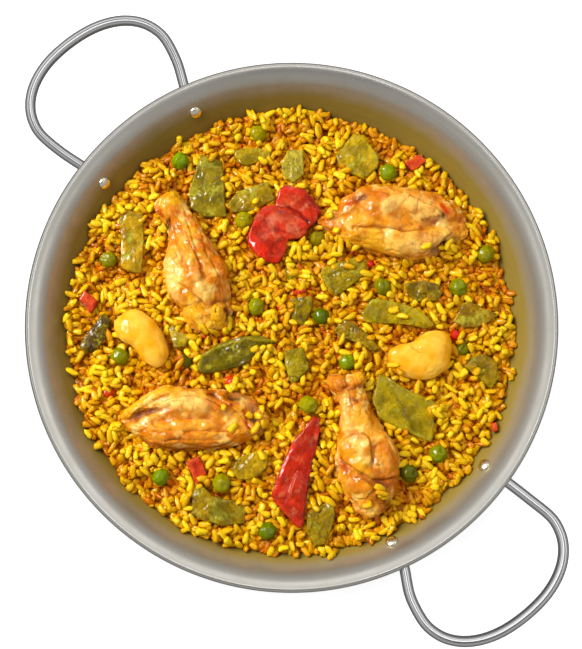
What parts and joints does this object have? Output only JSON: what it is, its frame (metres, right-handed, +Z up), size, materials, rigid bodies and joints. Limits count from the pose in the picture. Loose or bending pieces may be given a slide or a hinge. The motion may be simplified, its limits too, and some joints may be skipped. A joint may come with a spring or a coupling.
{
  "type": "pan of rice with chicken",
  "caption": "Shallow flared steel pan with two wire handles, filled with saffron rice, chicken pieces, roasted red pepper, flat green beans, butter beans and peas.",
  "frame": {"origin": "the middle of the pan's flat underside", "axes": "+Z up out of the pan, +X out through the middle of one handle, the other handle at -X"},
  "size_m": [0.4198, 0.2998, 0.0459],
  "materials": {
    "pan_steel": "brushed round the pan",
    "handle_wire": "polished wire",
    "rivet_steel": "domed, satin",
    "rice": "moist cooked rice, saffron yellow",
    "chicken": "moist golden skin and meat",
    "red_pepper": "glossy roasted pepper",
    "green_bean": "wet olive green skin",
    "butter_bean": "waxy, yellow",
    "pea": "smooth moist skin"
  },
  "bodies": {
    "root": {"pan": "pan_steel", "handle_left": "handle_wire", "handle_right": "handle_wire", "rivet_1": "rivet_steel", "rivet_2": "rivet_steel", "rivet_3": "rivet_steel", "rivet_4": "rivet_steel", "rice": "rice", "chicken_drumette": "chicken", "chicken_wing_right": "chicken", "chicken_wing_left": "chicken", "chicken_drumstick": "chicken", "red_pepper_back": "red_pepper", "red_pepper_front": "red_pepper", "red_pepper_strip": "red_pepper", "red_dice_1": "red_pepper", "red_dice_2": "red_pepper", "red_dice_3": "red_pepper", "butter_bean_1": "butter_bean", "butter_bean_2": "butter_bean", "green_01": "green_bean", "green_02": "green_bean", "green_03": "green_bean", "green_04": "green_bean", "green_05": "green_bean", "green_06": "green_bean", "green_07": "green_bean", "green_08": "green_bean", "green_09": "green_bean", "green_10": "green_bean", "green_11": "green_bean", "green_12": "green_bean", "green_13": "green_bean", "green_14": "green_bean", "green_15": "green_bean", "green_16": "green_bean", "green_17": "green_bean", "green_18": "green_bean", "green_19": "green_bean", "green_20": "green_bean", "green_21": "green_bean", "pea_01": "pea", "pea_02": "pea", "pea_03": "pea", "pea_04": "pea", "pea_05": "pea", "pea_06": "pea", "pea_07": "pea", "pea_08": "pea", "pea_09": "pea", "pea_10": "pea", "pea_11": "pea", "pea_12": "pea", "pea_13": "pea", "pea_14": "pea", "pea_15": "pea", "pea_16": "pea", "pea_17": "pea", "pea_18": "pea", "pea_19": "pea"}
  },
  "joints": []
}
